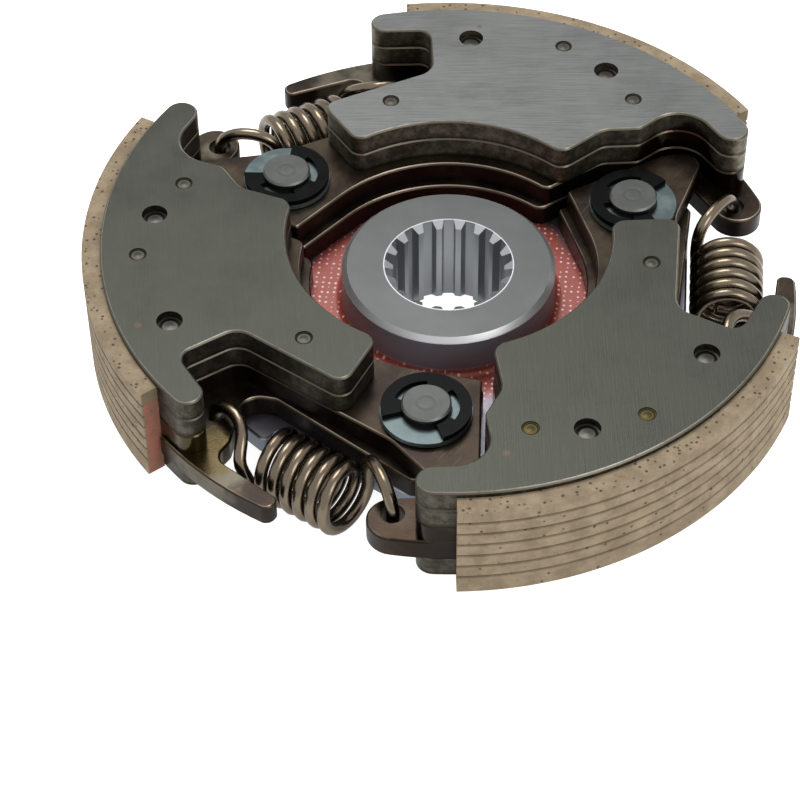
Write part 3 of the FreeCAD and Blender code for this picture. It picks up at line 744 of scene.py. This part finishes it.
def spring_line(shoe):
    """The points along a spring's wire, from the long tab's hole to the next shoe's hole."""
    outward = around(1.0, coil_axis_angle, shoe).normalized()
    along = around(1.0, coil_axis_angle + 90, shoe).normalized()
    up = Vector((0, 0, 1))
    begin = around(coil_axis_radius, coil_axis_angle, shoe, coil_axis_height) + along * coil_start * mm
    coil = []
    for index in range(int(coil_turns * points_per_turn) + 1):
        turn = 2 * pi * index / points_per_turn
        spoke = outward * cos(turn) - up * sin(turn)
        advance = along * (coil_pitch * index / points_per_turn)
        coil.append(begin + (spoke * coil_radius + advance) * mm)
    first = [coil[0] + (outward * out + along * way + up * lift) * mm for out, way, lift in anchor_way]
    next_shoe = shoe % len(shoe_numbers) + 1
    link = around(*link_hole, next_shoe, coil_axis_height)
    last = [coil[-1].lerp(link, share) + up * lift * mm for share, lift in link_way]
    return tail(around(*anchor_hole, shoe)) + first[::-1] + coil + last + tail(link)[::-1]


def wire_mesh(name, points):
    """A round wire along a smooth line through the points, as a mesh of rings."""
    curve = bpy.data.curves.new(name, "CURVE")
    curve.dimensions = "3D"
    curve.bevel_depth = wire_radius * mm
    curve.bevel_resolution = (wire_sides - 4) // 2
    curve.use_fill_caps = False
    spline = curve.splines.new("NURBS")
    spline.points.add(len(points) - 1)
    for control, point in zip(spline.points, points):
        control.co = (*point, 1.0)
    spline.order_u = 4
    spline.use_endpoint_u = True
    spline.resolution_u = 2
    holder = bpy.data.objects.new(name, curve)
    bpy.context.scene.collection.objects.link(holder)
    bpy.context.view_layer.update()
    mesh = bpy.data.meshes.new_from_object(holder.evaluated_get(bpy.context.evaluated_depsgraph_get()))
    bpy.data.objects.remove(holder)
    return mesh


def spring_half(name, mesh, keep_first):
    """One half of the wire's rings, capped at both ends, as a piece of its own."""
    shape = bmesh.new()
    shape.from_mesh(mesh)
    shape.verts.ensure_lookup_table()
    middle = len(shape.verts) // wire_sides // 2
    ring_of = {v: v.index // wire_sides for v in shape.verts}
    surplus = [v for v, ring in ring_of.items() if (ring > middle if keep_first else ring < middle)]
    bmesh.ops.delete(shape, geom=surplus, context="VERTS")
    open_edges = [edge for edge in shape.edges if edge.is_boundary]
    bmesh.ops.holes_fill(shape, edges=open_edges)
    bmesh.ops.recalc_face_normals(shape, faces=shape.faces)
    for face in shape.faces:
        face.smooth = len(face.verts) == 4
    half = bpy.data.meshes.new(name)
    shape.to_mesh(half)
    shape.free()
    half.materials.clear()
    half.materials.append(spring_material)
    piece = bpy.data.objects.new(name, half)
    bpy.context.scene.collection.objects.link(piece)
    return piece


# %% Make the springs
for shoe in shoe_numbers:
    whole = wire_mesh(f"spring_wire_{shoe}", spring_line(shoe))
    near = spring_half(f"spring_anchor_half_{shoe}", whole, True)
    far = spring_half(f"spring_link_half_{shoe}", whole, False)
    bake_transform(near)
    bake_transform(far)
    for half in (near, far):
        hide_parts(f"spring_{shoe}")
    print("spring", shoe, "vertices", len(near.data.vertices), len(far.data.vertices))

# %% [markdown]
# ## Floor, light and camera
# A white backdrop could be had with strong lamps, but they would bleach the steel. Here the floor
# and the world light the clutch softly, and only what the camera and the mirrors see of them is
# pure white. Two large soft lamps give the steel its long highlights. The camera stands where the
# photograph's camera stood.

# %% Floor
floor_reach = 3.0
floor_gap = 0.0002
floor_shape = bmesh.new()
bmesh.ops.create_grid(floor_shape, x_segments=1, y_segments=1, size=floor_reach)
floor_mesh = bpy.data.meshes.new("floor")
floor_shape.to_mesh(floor_mesh)
floor_shape.free()
floor = bpy.data.objects.new("floor", floor_mesh)
floor_mesh.transform(Matrix.Translation((0, 0, solid_box[0].z - floor_gap)))
bpy.context.scene.collection.objects.link(floor)


def floor_finish():
    """A faintly cloudy floor, which glows a little more for the camera alone."""
    material, tree, shader, place = new_material("pale_floor")
    cloud = add(tree, "TexNoise", {"Vector": place, "Scale": 3.0}).outputs["Fac"]
    tone = mix(tree, cloud, rgb(246, 246, 246), rgb(250, 250, 250))
    seen_now = add(tree, "LightPath").outputs["Is Camera Ray"]
    set_shader(tree, shader, Base_Color=tone, Roughness=0.9, Emission_Color=(1, 1, 1, 1),
               Emission_Strength=step(tree, seen_now, 0.0, 1.0, 0.35, 0.90))
    return material


floor_mesh.materials.append(floor_finish())
print("floor", round(floor_gap / mm, 2), "mm below the clutch")

# %% World
world = bpy.data.worlds.new("studio")
bpy.context.scene.world = world
world.use_nodes = True
sky = world.node_tree
path = add(sky, "LightPath")
seen = maths(sky, "MAXIMUM", path.outputs["Is Camera Ray"],
             maths(sky, "MAXIMUM", path.outputs["Is Glossy Ray"], path.outputs["Is Transmission Ray"]))
strength_on_object = 0.55
strength_as_seen = 1.0
strength = step(sky, seen, 0.0, 1.0, strength_on_object, strength_as_seen)
backdrop = sky.nodes["Background"]
backdrop.inputs["Color"].default_value = (1, 1, 1, 1)
sky.links.new(strength, backdrop.inputs["Strength"])
print("world", world.name)

# %% Lamps
lamp_size = 0.40


def soft_lamp(name, place, power):
    """A square lamp that points at the middle of the clutch."""
    light = bpy.data.lights.new(name, "AREA")
    light.size = lamp_size
    light.energy = power
    lamp = bpy.data.objects.new(name, light)
    lamp.location = place
    lamp.rotation_euler = (-Vector(place)).to_track_quat("-Z", "Y").to_euler()
    bpy.context.scene.collection.objects.link(lamp)
    print(name, power, "W")


soft_lamp("key_lamp", (-0.12, 0.35, 0.80), 5.0)
soft_lamp("fill_lamp", (0.55, -0.45, 0.55), 2.2)

# %% Camera
camera_place = Vector((35.86, -366.40, 378.77)) * mm
camera_turn = (42.85, 0.444, 6.596)
camera_lens = 121.4
sensor_width = 36.0
camera_data = bpy.data.cameras.new("camera")
camera_data.lens = camera_lens
camera_data.sensor_width = sensor_width
camera = bpy.data.objects.new("camera", camera_data)
camera.location = camera_place
camera.rotation_euler = Euler([radians(angle) for angle in camera_turn])
bpy.context.scene.collection.objects.link(camera)
bpy.context.scene.camera = camera
bpy.context.scene.view_settings.view_transform = "Standard"
print("camera", round(camera_place.length, 3), "m from the clutch")
